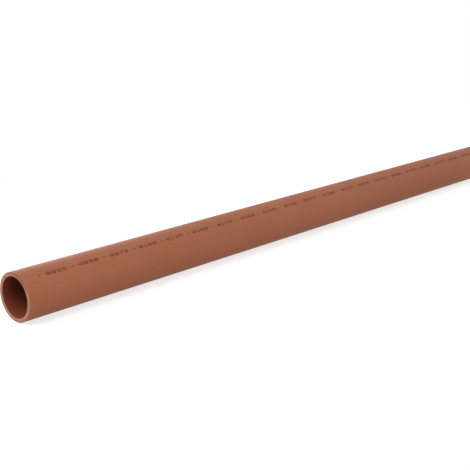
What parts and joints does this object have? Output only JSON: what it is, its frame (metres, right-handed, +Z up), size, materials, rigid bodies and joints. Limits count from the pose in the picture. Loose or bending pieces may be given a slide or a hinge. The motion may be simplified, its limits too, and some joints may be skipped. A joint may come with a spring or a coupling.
{
  "type": "cpvc pipe",
  "caption": "Straight round CPVC pressure pipe with plain sawn ends, lying on its side, for solvent-cemented hot and cold water lines.",
  "frame": {"origin": "on the floor under the middle of the pipe", "axes": "+X along the pipe, away from the end that shows in the picture; +Z up"},
  "size_m": [1, 0.032, 0.032],
  "materials": {
    "cpvc": "satin terracotta-brown extruded plastic"
  },
  "bodies": {
    "root": {"pipe": "cpvc"}
  },
  "joints": []
}
